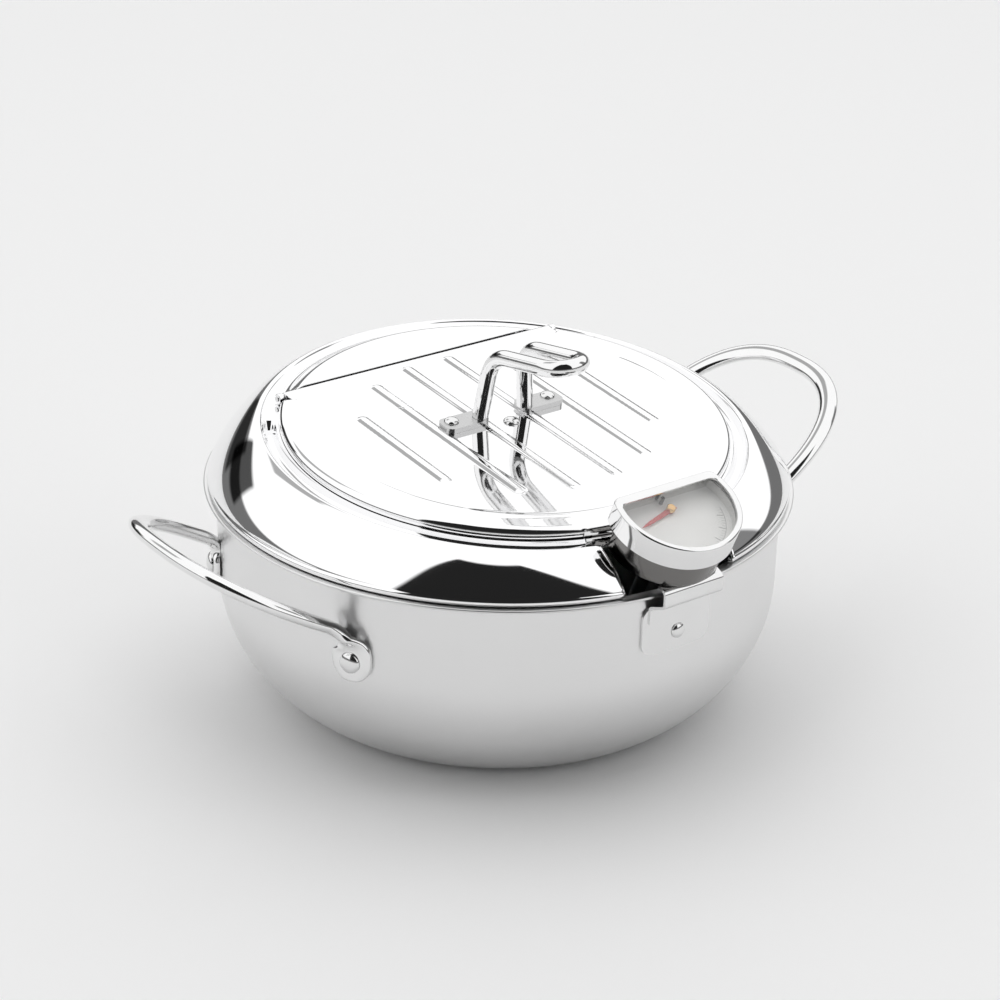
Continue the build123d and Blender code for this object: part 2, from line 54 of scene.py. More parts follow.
slope = math.radians(lid["slope"])
topOrigin = np.array([0.0, lid["topY"], pot["rim"] + lid["topUp"]])
topUp = np.array([0.0, -math.sin(slope), math.cos(slope)])
topBack = np.array([0.0, math.cos(slope), math.sin(slope)])


def onTop(x, v, w):
    # A point of the lid's sloping top: x across, v up the slope, w out of it.
    x, v, w = np.broadcast_arrays(x, v, w)
    return topOrigin + x[..., None] * np.array([1.0, 0, 0]) + v[..., None] * topBack + w[..., None] * topUp


def gridFaces(rows, cols, closeCols=False, closeRows=False):
    # Quads between neighbours on a grid of rows by cols, wrapped round where it is closed.
    r = np.arange(rows if closeRows else rows - 1)
    c = np.arange(cols if closeCols else cols - 1)
    r, c = np.meshgrid(r, c, indexing="ij")
    a = r * cols + c
    b = r * cols + (c + 1) % cols
    d = ((r + 1) % rows) * cols + c
    e = ((r + 1) % rows) * cols + (c + 1) % cols
    return np.stack([a, b, e, d], axis=-1).reshape(-1, 4)


def makePiece(name, parts, body, material, sharp=40.0, merge=1e-6):
    # One mesh from several (points, quads) grids. Doubles are merged, so poles and seams close.
    mesh = bpy.data.meshes.new(name)
    points, faces, start = [], [], 0
    for grid, quads in parts:
        flat = grid.reshape(-1, 3) * mm
        points.append(flat)
        faces.append(quads + start)
        start += len(flat)
    mesh.from_pydata(np.concatenate(points).tolist(), [], np.concatenate(faces).tolist())
    edit = bmesh.new()
    edit.from_mesh(mesh)
    bmesh.ops.remove_doubles(edit, verts=edit.verts, dist=merge)
    bmesh.ops.dissolve_degenerate(edit, edges=edit.edges, dist=merge)
    bmesh.ops.recalc_face_normals(edit, faces=edit.faces)
    edit.to_mesh(mesh)
    edit.free()
    mesh.shade_smooth()
    mesh.set_sharp_from_angle(angle=math.radians(sharp))
    piece = bpy.data.objects.new(name, mesh)
    bpy.context.collection.objects.link(piece)
    mesh.materials.append(material)
    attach(piece, body)
    return piece


def thicken(piece, thick, offset=-1.0):
    wall = piece.modifiers.new("wall", "SOLIDIFY")
    wall.thickness = thick * mm
    wall.offset = offset
    wall.use_even_offset = True


def circles(radius, angles, centreY=0.0, height=0.0, lean=0.0):
    # Circles about the Z axis, one for each radius, moved in Y, raised and tilted about X.
    radius, centreY, height, lean = [np.asarray(k, float)[:, None] for k in
                                     np.broadcast_arrays(*np.atleast_1d(radius, centreY, height, lean))]
    angles = np.atleast_2d(angles)
    x = radius * np.cos(angles)
    v = radius * np.sin(angles)
    return np.stack([x, centreY + v * np.cos(lean), height + v * np.sin(lean)], axis=-1)


def arc(x, z, radius, first, last, count):
    # Points of a circle between two angles in degrees, as (count, 2).
    a = np.radians(np.linspace(first, last, count))
    return np.stack([x + radius * np.cos(a), z + radius * np.sin(a)], axis=-1)


def nodeGroup(name, inputs, outputs):
    group = bpy.data.node_groups.new(name, "ShaderNodeTree")
    for label, kind, value in inputs:
        socket = group.interface.new_socket(name=label, in_out="INPUT", socket_type=kind)
        if value is not None:
            socket.default_value = value
    for label, kind in outputs:
        group.interface.new_socket(name=label, in_out="OUTPUT", socket_type=kind)
    return group, group.nodes.new("NodeGroupInput"), group.nodes.new("NodeGroupOutput")


def mathNode(tree, kind, values, clamp):
    # A maths node whose inputs are numbers or other nodes' outputs.
    node = tree.nodes.new("ShaderNodeMath")
    node.operation = kind
    node.use_clamp = clamp
    for slotIn, value in zip(node.inputs, values):
        if isinstance(value, (int, float)):
            slotIn.default_value = value
        else:
            tree.links.new(value, slotIn)
    return node.outputs[0]


def buildWearGroup():
    # Faint smudges and fine rubbing: noise at two sizes shifts the roughness and tone a little.
    group, gin, gout = nodeGroup(
        "handledSteel",
        [("Tone", "NodeSocketColor", (0.8, 0.8, 0.8, 1)), ("Roughness", "NodeSocketFloat", 0.1),
         ("Smudge", "NodeSocketFloat", 0.03), ("Size", "NodeSocketFloat", 30.0),
         ("Lift", "NodeSocketFloat", 0.02)],
        [("Color", "NodeSocketColor"), ("Roughness", "NodeSocketFloat"), ("Height", "NodeSocketFloat")])
    n, l = group.nodes, group.links
    coords = n.new("ShaderNodeTexCoord")
    soft = n.new("ShaderNodeTexNoise")
    soft.inputs["Detail"].default_value = 3.0
    l.new(coords.outputs["Object"], soft.inputs["Vector"])
    l.new(gin.outputs["Size"], soft.inputs["Scale"])
    fine = n.new("ShaderNodeTexNoise")
    fine.inputs["Scale"].default_value = 900.0
    fine.inputs["Detail"].default_value = 2.0
    l.new(coords.outputs["Object"], fine.inputs["Vector"])
    centred = n.new("ShaderNodeMath")
    centred.operation = "SUBTRACT"
    centred.inputs[1].default_value = 0.5
    l.new(soft.outputs["Fac"], centred.inputs[0])
    amount = n.new("ShaderNodeMath")
    amount.operation = "MULTIPLY"
    l.new(centred.outputs[0], amount.inputs[0])
    l.new(gin.outputs["Smudge"], amount.inputs[1])
    rough = n.new("ShaderNodeMath")
    rough.operation = "ADD"
    rough.use_clamp = True
    l.new(gin.outputs["Roughness"], rough.inputs[0])
    l.new(amount.outputs[0], rough.inputs[1])
    l.new(rough.outputs[0], gout.inputs["Roughness"])
    shade = n.new("ShaderNodeMath")
    shade.operation = "MULTIPLY_ADD"
    shade.inputs[1].default_value = 0.08
    shade.inputs[2].default_value = 0.96
    l.new(soft.outputs["Fac"], shade.inputs[0])
    tone = n.new("ShaderNodeMix")
    tone.data_type = "RGBA"
    tone.blend_type = "MULTIPLY"
    tone.inputs["Factor"].default_value = 1.0
    l.new(gin.outputs["Tone"], tone.inputs["A"])
    l.new(shade.outputs[0], tone.inputs["B"])
    l.new(tone.outputs["Result"], gout.inputs["Color"])
    lift = n.new("ShaderNodeMath")
    lift.operation = "MULTIPLY"
    l.new(fine.outputs["Fac"], lift.inputs[0])
    l.new(gin.outputs["Lift"], lift.inputs[1])
    l.new(lift.outputs[0], gout.inputs["Height"])
    return group


def buildTurnedGroup():
    # Turning marks: noise squeezed into rings round the Z axis, read from height and radius.
    group, gin, gout = nodeGroup(
        "turnedRings",
        [("Rings", "NodeSocketFloat", 900.0), ("Depth", "NodeSocketFloat", 0.2)],
        [("Height", "NodeSocketFloat"), ("Mask", "NodeSocketFloat")])
    n, l = group.nodes, group.links
    coords = n.new("ShaderNodeTexCoord")
    parts = n.new("ShaderNodeSeparateXYZ")
    l.new(coords.outputs["Object"], parts.inputs[0])
    radius = n.new("ShaderNodeVectorMath")
    radius.operation = "LENGTH"
    flat = n.new("ShaderNodeVectorMath")
    flat.operation = "MULTIPLY"
    flat.inputs[1].default_value = (1, 1, 0)
    l.new(coords.outputs["Object"], flat.inputs[0])
    l.new(flat.outputs[0], radius.inputs[0])
    round_ = n.new("ShaderNodeMath")
    round_.operation = "ARCTAN2"
    l.new(parts.outputs["Y"], round_.inputs[0])
    l.new(parts.outputs["X"], round_.inputs[1])
    slow = n.new("ShaderNodeMath")
    slow.operation = "MULTIPLY"
    slow.inputs[1].default_value = 0.004
    l.new(round_.outputs[0], slow.inputs[0])
    joined = n.new("ShaderNodeCombineXYZ")
    l.new(radius.outputs["Value"], joined.inputs["X"])
    l.new(slow.outputs[0], joined.inputs["Y"])
    l.new(parts.outputs["Z"], joined.inputs["Z"])
    rings = n.new("ShaderNodeTexNoise")
    rings.inputs["Detail"].default_value = 4.0
    l.new(joined.outputs[0], rings.inputs["Vector"])
    l.new(gin.outputs["Rings"], rings.inputs["Scale"])
    deep = n.new("ShaderNodeMath")
    deep.operation = "MULTIPLY"
    l.new(rings.outputs["Fac"], deep.inputs[0])
    l.new(gin.outputs["Depth"], deep.inputs[1])
    l.new(deep.outputs[0], gout.inputs["Height"])
    l.new(rings.outputs["Fac"], gout.inputs["Mask"])
    return group


wearGroup = buildWearGroup()
turnedGroup = buildTurnedGroup()


def steel(name, tone, roughness, smudge=0.03, size=30.0, bump=0.02, turned=None):
    made = bpy.data.materials.new(name)
    made.use_nodes = True
    n, l = made.node_tree.nodes, made.node_tree.links
    shader = n["Principled BSDF"]
    shader.inputs["Metallic"].default_value = 1.0
    wear = n.new("ShaderNodeGroup")
    wear.node_tree = wearGroup
    wear.inputs["Tone"].default_value = (*tone, 1)
    wear.inputs["Roughness"].default_value = roughness
    wear.inputs["Smudge"].default_value = smudge
    wear.inputs["Size"].default_value = size
    wear.inputs["Lift"].default_value = bump
    l.new(wear.outputs["Color"], shader.inputs["Base Color"])
    l.new(wear.outputs["Roughness"], shader.inputs["Roughness"])
    height = wear.outputs["Height"]
    if turned:
        rings = n.new("ShaderNodeGroup")
        rings.node_tree = turnedGroup
        rings.inputs["Rings"].default_value = turned[0]
        rings.inputs["Depth"].default_value = turned[1]
        both = n.new("ShaderNodeMath")
        both.operation = "ADD"
        l.new(height, both.inputs[0])
        l.new(rings.outputs["Height"], both.inputs[1])
        height = both.outputs[0]
    relief = n.new("ShaderNodeBump")
    relief.inputs["Strength"].default_value = 0.35
    relief.inputs["Distance"].default_value = 0.0004
    l.new(height, relief.inputs["Height"])
    l.new(relief.outputs["Normal"], shader.inputs["Normal"])
    return made


finishes = {
    "pot_steel": steel("satinPotSteel", (0.80, 0.80, 0.80), 0.30, 0.06, 18.0, 0.04, (700.0, 0.25)),
    "lid_steel": steel("mirrorLidSteel", (0.92, 0.92, 0.925), 0.045, 0.02, 25.0, 0.0),
    "handle_steel": steel("polishedHandleSteel", (0.84, 0.84, 0.84), 0.07, 0.03, 60.0, 0.01),
    "rivet_steel": steel("rivetSteel", (0.80, 0.80, 0.80), 0.12, 0.05, 120.0, 0.03),
    "bracket_steel": steel("bracketSteel", (0.80, 0.80, 0.80), 0.10, 0.04, 60.0, 0.02),
    "case_steel": steel("caseSteel", (0.20, 0.195, 0.19), 0.14, 0.03, 60.0, 0.01),
    "bezel_steel": steel("bezelSteel", (0.84, 0.84, 0.84), 0.07, 0.03, 80.0, 0.01),
    "spacer_steel": steel("spacerAluminium", (0.78, 0.78, 0.77), 0.22, 0.05, 90.0, 0.03),
    "coil_metal": steel("dullBimetal", (0.62, 0.52, 0.36), 0.4, 0.1, 200.0, 0.1),
    "stem_steel": steel("stemSteel", (0.78, 0.78, 0.78), 0.12, 0.04, 80.0, 0.02),
    "brass_fittings": steel("turnedBrass", (0.80, 0.50, 0.20), 0.2, 0.06, 200.0, 0.05),
    "nut_steel": steel("nutSteel", (0.66, 0.66, 0.66), 0.28, 0.08, 120.0, 0.05),
    "spindle_steel": steel("drawnWire", (0.62, 0.62, 0.62), 0.25, 0.08, 150.0, 0.05),
    "rod_steel": steel("hingeRodSteel", (0.72, 0.72, 0.72), 0.2, 0.05, 120.0, 0.03),
}


def paint(name, tone, roughness, speckle):
    # Paint with a faint orange-peel and slight unevenness of tone.
    made = bpy.data.materials.new(name)
    made.use_nodes = True
    n, l = made.node_tree.nodes, made.node_tree.links
    shader = n["Principled BSDF"]
    wear = n.new("ShaderNodeGroup")
    wear.node_tree = wearGroup
    wear.inputs["Tone"].default_value = (*tone, 1)
    wear.inputs["Roughness"].default_value = roughness
    wear.inputs["Smudge"].default_value = speckle
    wear.inputs["Size"].default_value = 150.0
    wear.inputs["Lift"].default_value = speckle
    l.new(wear.outputs["Color"], shader.inputs["Base Color"])
    l.new(wear.outputs["Roughness"], shader.inputs["Roughness"])
    relief = n.new("ShaderNodeBump")
    relief.inputs["Strength"].default_value = 0.2
    relief.inputs["Distance"].default_value = 0.0002
    l.new(wear.outputs["Height"], relief.inputs["Height"])
    l.new(relief.outputs["Normal"], shader.inputs["Normal"])
    return made


finishes["pin_black"] = paint("blackPin", (0.02, 0.02, 0.02), 0.35, 0.1)
finishes["pointer_red"] = paint("redPointer", (0.62, 0.05, 0.05), 0.35, 0.1)

glass = bpy.data.materials.new("clearLens")
glass.use_nodes = True
glassShader = glass.node_tree.nodes["Principled BSDF"]
glassShader.inputs["Base Color"].default_value = (1, 1, 1, 1)
glassShader.inputs["Roughness"].default_value = 0.02
glassShader.inputs["Alpha"].default_value = 0.12
glassShader.inputs["IOR"].default_value = 1.45
finishes["clear_lens"] = glass
print("finishes ready")


def potOutline():
    # The pot's closed outline (radius, height): base, two curves, wall, rim, and the same inside.
    turn = pot["bowlTurn"]
    t = math.radians(turn)
    wall, bowl, bend, thick = pot["wallRadius"], pot["bowlRadius"], pot["bendRadius"], pot["wallThick"]
    baseR = wall - bowl * (1 - math.cos(t)) - bend * math.cos(t)
    upright = bowl * math.sin(t) + bend * (1 - math.sin(t))
    rim, half = pot["rim"], pot["rimThick"] / 2
    runs = [
        np.stack([np.linspace(0, baseR, 24), np.zeros(24)], axis=-1),
        arc(baseR, bend, bend, -90, -turn, 14)[1:],
        arc(wall - bowl, upright, bowl, -turn, 0, 30)[1:],
        np.stack([np.full(14, wall), np.linspace(upright, rim - 2 * half, 15)[1:]], axis=-1),
        arc(pot["rimRadius"] - half, rim - half, half, -90, 90, 11),
        arc(wall + 1.0, rim - 2.0, 2.0, 90, 180, 9),
        np.stack([np.full(14, wall - thick), np.linspace(rim - 2, upright, 15)[1:]], axis=-1),
        arc(wall - bowl, upright, bowl - thick, 0, -turn, 30)[1:],
        arc(baseR, bend, bend - thick, -turn, -90, 14)[1:],
        np.stack([np.linspace(baseR, 0, 24)[1:], np.full(23, thick)], axis=-1),
    ]
    return np.concatenate(runs)


potProfile = potOutline()
roundAngles = np.linspace(0, 2 * math.pi, 361)[:-1]
potGrid = circles(potProfile[:, 0], roundAngles, 0.0, potProfile[:, 1])
potShell = makePiece("potShell", [(potGrid, gridFaces(len(potProfile), 360, True))], "pot",
                     finishes["pot_steel"], 35)
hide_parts("pot_shell")
print("pot shell", len(potShell.data.polygons))

grooveR, grooveH = lid["grooveRadius"], lid["grooveHalf"]
cornerR = math.hypot(lid["notchHalf"], lid["notchV"])
front = -math.pi / 2


def grooveHeight(x, v):
    # Depth of the drip groove: a round trough about an arc, with round ends.
    r = np.hypot(x, v)
    a = np.arctan2(v, x)
    end = math.radians(lid["grooveEnd"])
    outside = (a > end) & (a < math.pi - end)
    endX = grooveR * math.cos(end)
    endV = grooveR * math.sin(end)
    gap = np.where(outside, np.minimum(np.hypot(x - endX, v - endV), np.hypot(x + endX, v - endV)),
                   np.abs(r - grooveR))
    inside = np.clip(1 - (gap / grooveH) ** 2.4, 0, 1)
    return -lid["grooveDeep"] * inside ** 0.6


def shoulderLevels(count):
    # Radius, centre, height and lean of the circles down the shoulder, from the crest to the bead.
    a = np.radians(np.linspace(90, 7.5, count))
    out = (lid["shoulderRadius"] - lid["crestRadius"]) * np.cos(a) ** (2 / lid["power"])
    climb = (lid["crestUp"] - lid["shoulderLow"]) * np.sin(a) ** (2 / lid["power"])
    share = climb / (lid["crestUp"] - lid["shoulderLow"])
    lean = share * slope
    height = pot["rim"] + lid["shoulderLow"] + climb + share * share * lid["topY"] * math.sin(slope)
    return lid["crestRadius"] + out, share * lid["topY"], height, lean


def sideAngles(radius, count):
    # Angles round a circle that start and end on the notch's two sides.
    edge = np.arcsin(np.clip(lid["notchHalf"] / np.asarray(radius, float), -1, 1))[:, None]
    share = np.linspace(0, 1, count)[None, :]
    return front + edge + share * (2 * math.pi - 2 * edge)


ringCols = 440
outerR = np.concatenate([[cornerR], grooveR + grooveH * np.sin(np.radians(np.linspace(6, 90, 14))),
                         [104.42, 104.6, 104.8, 105.0, 105.25, 105.6]])
ridge = np.interp(outerR, [104.4, 104.7, 105.1, 105.6], [0, 0.42, 0.68, 0.73])
angles = sideAngles(outerR, ringCols)
x, v = outerR[:, None] * np.cos(angles), outerR[:, None] * np.sin(angles)
bandGrid = onTop(x, v, grooveHeight(x, v) + ridge[:, None])
sR, sY, sZ, sLean = shoulderLevels(44)
shoulderGrid = circles(sR, sideAngles(sR, ringCols), sY, sZ, sLean)
bead = arc(lid["beadRadius"], pot["rim"] + lid["beadUp"], lid["beadTube"], 42, -150, 22)
beadGrid = circles(bead[:, 0], sideAngles(bead[:, 0], ringCols), 0.0, bead[:, 1])
skirtGrid = np.concatenate([bandGrid, shoulderGrid, beadGrid])

inner = np.concatenate([[88.0, 88.6, 90.5, 93.5, 96.5, 97.9],
                        grooveR + grooveH * np.sin(np.radians(np.linspace(-90, -6, 14))), [cornerR]])
edgeAngle = math.asin(lid["notchHalf"] / cornerR)
full = np.concatenate([sideAngles([cornerR], ringCols)[0],
                       front + np.linspace(-edgeAngle, edgeAngle, 26)[1:-1]])
reach = np.where(np.abs(np.mod(full - front + math.pi, 2 * math.pi) - math.pi) < edgeAngle - 1e-9,
                 -lid["notchV"] / np.maximum(np.cos(full - front), 0.2), 1e3)
r = np.minimum(inner[:, None], reach[None, :])
x, v = r * np.cos(full)[None, :], r * np.sin(full)[None, :]
ledgeGrid = onTop(x, v, grooveHeight(x, v))
lidRing = makePiece("lidRing", [(skirtGrid, gridFaces(len(skirtGrid), ringCols)),
                                (ledgeGrid, gridFaces(len(ledgeGrid), ledgeGrid.shape[1], True))],
                    "lid_ring", finishes["lid_steel"], 32, 2e-6)
thicken(lidRing, lid["sheet"])
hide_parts("lid_ring")

# The notch's turned-down edge hangs from the cut sides and back of the ring.
floorZ = pot["rim"] + lid["notchWall"]
rightSide = skirtGrid[:, 0][skirtGrid[:, 0, 2] > floorZ][::-1]
leftSide = skirtGrid[:, -1][skirtGrid[:, -1, 2] > floorZ]
backV = np.full(30, lid["notchV"])
backX = np.linspace(lid["notchHalf"], -lid["notchHalf"], 30)
backEdge = onTop(backX, backV, grooveHeight(backX, backV))
wallTop = np.concatenate([rightSide, backEdge[1:-1], leftSide])
wallTop = wallTop - np.array([0, 0, 0.05])
share = np.linspace(0, 1, 6)[:, None, None]
wallBottom = wallTop.copy()
wallBottom[:, 2] = np.minimum(floorZ, wallTop[:, 2])
notchWall = makePiece("notchWall", [(wallTop[None] * (1 - share) + wallBottom[None] * share,
                                     gridFaces(6, len(wallTop)))], "lid_ring",
                      finishes["lid_steel"], 40)
thicken(notchWall, 0.9, 1.0)

# The fixed shelf behind the hinge, level with the flap, falls in an S to the ring.
shelf = {"front": 67.5, "outer": 99.5, "level": 90.0, "rise": 4.6}
startAngle = math.asin(shelf["front"] / shelf["outer"]) + 0.003
a = np.linspace(startAngle, math.pi - startAngle, 240)[None, :]
t = (np.linspace(0, 1, 46) ** 0.8)[:, None]
rIn = shelf["front"] / np.sin(a)
r = rIn + t * (shelf["outer"] - rIn)
fall = np.clip((r - shelf["level"]) / (shelf["outer"] - shelf["level"]), 0, 1)
w = shelf["rise"] * (1 - fall * fall * (3 - 2 * fall)) + 0.02
shelfGrid = onTop(r * np.cos(a), r * np.sin(a), w)
rearShelf = makePiece("rearShelf", [(shelfGrid, gridFaces(46, 240))], "lid_ring",
                      finishes["lid_steel"], 40)
thicken(rearShelf, 0.9)
print("lid ring", len(lidRing.data.polygons))

flap = {"radius": 97.0, "rise": 4.6, "roll": 3.0, "gap": 0.35, "chord": 64.8, "trimX": 71.4, "trimV": 60.8,
        "ribPitch": 22.0, "ribs": 6, "ribHalf": 2.5, "ribHigh": 0.8, "ribReach": 64.0, "ribCentre": -2.4,
        "arcRadius": 83.0, "arcHalf": 2.2, "arcHigh": 0.4}


def flapRelief(x, v):
    # Height of the pressed ribs and of the curved bead above the flap's plate.
    height = np.zeros_like(x)
    for i in range(flap["ribs"]):
        ribX = (i - (flap["ribs"] - 1) / 2) * flap["ribPitch"]
        half = math.sqrt(flap["ribReach"] ** 2 - ribX ** 2) - flap["ribHalf"]
        along = np.maximum(np.abs(v - flap["ribCentre"]) - half, 0)
        gap = np.hypot(x - ribX, along)
        up = np.clip((flap["ribHalf"] + 0.3 - gap) / 1.5, 0, 1)
        height = np.maximum(height, flap["ribHigh"] * up * up * (3 - 2 * up))
    r = np.hypot(x, v - flap["ribCentre"])
    turn = np.abs(np.mod(np.arctan2(v - flap["ribCentre"], x) - front + math.pi, 2 * math.pi) - math.pi)
    ends = np.clip((math.radians(110) - turn) / 0.06, 0, 1)
    up = np.clip(1 - np.abs(r - flap["arcRadius"]) / flap["arcHalf"], 0, 1) * ends
    return height + flap["arcHigh"] * up * up * (3 - 2 * up)


flapCols = 540
a = np.linspace(0, 2 * math.pi, flapCols + 1)[:-1][None, :]
sine = np.maximum(np.sin(a), 1e-6)
onChord = flap["chord"] / sine < flap["radius"]
outline = np.where(onChord & (np.sin(a) > 0), flap["chord"] / sine, flap["radius"])
trimmed = (outline * np.sin(a) > flap["trimV"]) & (outline * np.abs(np.cos(a)) > flap["trimX"])
outline = np.where(trimmed, flap["trimX"] / np.maximum(np.abs(np.cos(a)), 1e-6), outline)
rolled = ~onChord & ~trimmed | (np.sin(a) <= 0)
plate = (outline - flap["roll"]) * np.linspace(0, 1, 124)[:, None]
x, v = plate * np.cos(a), plate * np.sin(a)
rows = [onTop(x, v, flap["rise"] + flapRelief(x, v))]
bend = np.radians(np.linspace(0, 90, 10))[1:, None]
r = outline - flap["roll"] + flap["roll"] * np.sin(bend)
w = flap["rise"] - np.where(rolled, flap["roll"] * (1 - np.cos(bend)), 0)
rows.append(onTop(r * np.cos(a), r * np.sin(a), w))
under = [(0.0, flap["gap"], 3.7), (1.0, flap["gap"], 3.6), (1.0, 1.6, 3.6), (1.6, 2.9, 3.6), (3.0, 3.6, 3.6),
         (20.0, 3.6, 3.6)]
for inset, wRolled, wFlat in under:
    r = outline - inset
    rows.append(onTop(r * np.cos(a), r * np.sin(a), np.where(rolled, wRolled, wFlat)))
rows.append(onTop(0 * a, 0 * a, np.full_like(a, 3.6)))
flapGrid = np.concatenate(rows)
lidFlap = makePiece("lidFlap", [(flapGrid, gridFaces(len(flapGrid), flapCols, True))],
                    "lid_flap", finishes["lid_steel"], 32)
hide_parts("lid_flap")
print("flap", len(lidFlap.data.polygons))


def directions(path):
    # Unit directions along a path of points, by differences between neighbours.
    forward = np.gradient(path, axis=0)
    return forward / np.linalg.norm(forward, axis=1)[:, None]


def sweepRing(path, across, over, halfWide, halfThick, count):
    # An oval carried along a path: each ring is centre + wide * cos * across + thick * sin * over.
    turn = np.linspace(0, 2 * math.pi, count + 1)[:-1]
    wide = np.asarray(halfWide)[:, None, None] * np.cos(turn)[None, :, None] * across[:, None, :]
    high = np.asarray(halfThick)[:, None, None] * np.sin(turn)[None, :, None] * over[:, None, :]
    return path[:, None, :] + wide + high


def smoothPath(corners, radius, step=0.6):
    # Straight runs between corners, each corner replaced by an arc of the given radius.
    corners = [np.array(c, float) for c in corners]
    out = [corners[0]]
    for before, here, after in zip(corners, corners[1:], corners[2:]):
        u = (before - here) / np.linalg.norm(before - here)
        w = (after - here) / np.linalg.norm(after - here)
        halfTurn = 0.5 * math.acos(float(np.dot(u, w)))
        centre = here + (u + w) / np.linalg.norm(u + w) * radius / math.sin(halfTurn)
        first = here + u * radius / math.tan(halfTurn) - centre
        last = here + w * radius / math.tan(halfTurn) - centre
        swing = math.pi - 2 * halfTurn
        t = np.linspace(0, 1, 24)[:, None]
        out.extend(centre + (np.sin((1 - t) * swing) * first + np.sin(t * swing) * last) / math.sin(swing))
    out.append(corners[-1])
    out = np.array(out)
    length = np.concatenate([[0], np.cumsum(np.linalg.norm(np.diff(out, axis=0), axis=1))])
    even = np.arange(0, length[-1] + step * 0.5, step)
    return np.stack([np.interp(even, length, out[:, k]) for k in range(3)], axis=-1)


def rodPiece(name, path, radius, body, slot):
    # A round rod along a path, closed by a soft cap at its far end and a flat one at its start.
    forward = directions(path)
    side = np.cross(forward, np.array([0.03, 0.02, 1.0]))
    side /= np.linalg.norm(side, axis=1)[:, None]
    # The side direction is carried along so that it never turns over.
    for i in range(1, len(side)):
        kept = side[i - 1] - np.dot(side[i - 1], forward[i]) * forward[i]
        side[i] = kept / np.linalg.norm(kept)
    over = np.cross(forward, side)
    half = np.full(len(path), radius)
    grid = sweepRing(path, side, over, half, half, 32)
    turn = np.radians(np.linspace(0, 80, 6))
    endRing = [(path[-1] + forward[-1] * 0.6 * np.sin(q))[None]
               + (grid[-1] - path[-1]) * (1 - 0.2 * (1 - np.cos(q))) for q in turn[1:]]
    grid = np.concatenate([np.repeat(path[:1, None, :], 32, axis=1), grid, np.array(endRing),
                           np.repeat((path[-1] + forward[-1] * 0.6)[None, None, :], 32, axis=1)])
    return makePiece(name, [(grid, gridFaces(len(grid), 32, True))], body, finishes[slot], 40)


grip = {"rod": 3.6, "half": 8.5, "footX": 11.8, "footV": 2.67, "footW": 7.04, "bendY": -4.5, "bendUp": 59.2,
        "endY": -40.6, "endUp": 66.0, "bendRadius": 13.5}
rim = pot["rim"]
footPoint = onTop(*[np.array(grip[k]) for k in ("footX", "footV", "footW")])
a = np.radians(np.linspace(0, 180, 30))
lift = (grip["endUp"] - grip["bendUp"]) / (grip["bendY"] - grip["endY"])
nose = np.stack([grip["half"] * np.cos(a), grip["endY"] - grip["half"] * np.sin(a),
                 rim + grip["endUp"] + grip["half"] * np.sin(a) * lift], axis=-1)
bendCorner = (grip["half"], grip["bendY"], rim + grip["bendUp"])
right = smoothPath([footPoint, bendCorner, nose[0]], grip["bendRadius"])
left = right[::-1] * np.array([-1, 1, 1])
gripPath = np.concatenate([right[:-1], nose, left[1:]])
length = np.concatenate([[0], np.cumsum(np.linalg.norm(np.diff(gripPath, axis=0), axis=1))])
even = np.linspace(0, length[-1], 330)
gripPath = np.stack([np.interp(even, length, gripPath[:, k]) for k in range(3)], axis=-1)
kernel = np.ones(9) / 9
padded = np.pad(gripPath, ((4, 4), (0, 0)), mode="edge")
smooth = np.stack([np.convolve(padded[:, k], kernel, "valid") for k in range(3)], axis=-1)
smooth[:5], smooth[-5:] = gripPath[:5], gripPath[-5:]
lidGrip = rodPiece("lidGrip", smooth, grip["rod"], "lid_flap", "handle_steel")
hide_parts("lid_handle")
print("lid grip ready")

hinge = {"v": 64.8, "w": 2.5, "knuckle": 2.1, "half": 71.4, "knuckleSoft": 0.4, "ear": 2.3, "earMiddle": 73.4,
         "earHalf": 1.2, "earSoft": 0.3}


def turnedAlong(origin, axis, across, profile, count=48):
    # A closed outline of (radius, height) turned about an axis through an origin.
    axis, across = np.array(axis, float), np.array(across, float)
    third = np.cross(axis, across)
    turn = np.linspace(0, 2 * math.pi, count + 1)[:-1]
    ring = np.cos(turn)[:, None] * across + np.sin(turn)[:, None] * third
    profile = np.array(profile, float)
    grid = np.array(origin) + profile[:, :1, None] * ring[None] + profile[:, 1:, None] * axis
    return grid, gridFaces(len(profile), count, True)


def hingePoint(x):
    return onTop(np.array(float(x)), np.array(hinge["v"]), np.array(hinge["w"]))


def barrel(radius, half, soft):
    # Outline of a round bar with softened ends.
    end = [(radius - soft * (1 - math.cos(q)), half - soft * (1 - math.sin(q)))
           for q in np.radians(np.linspace(0, 90, 5))]
    return [(0, -half)] + [(r, -h) for r, h in end[::-1]] + end + [(0, half)]


knuckleOutline = barrel(hinge["knuckle"], hinge["half"], hinge["knuckleSoft"])
knuckleGrid = turnedAlong(hingePoint(0), (1, 0, 0), (0, 1, 0), knuckleOutline)
makePiece("flapKnuckle", [knuckleGrid], "lid_flap", finishes["lid_steel"])
earOutline = barrel(hinge["ear"], hinge["earHalf"], hinge["earSoft"])
earParts = [turnedAlong(hingePoint(side * hinge["earMiddle"]), (1, 0, 0), (0, 1, 0), earOutline)
            for side in (-1, 1)]
makePiece("hingeEars", earParts, "lid_ring", finishes["lid_steel"])

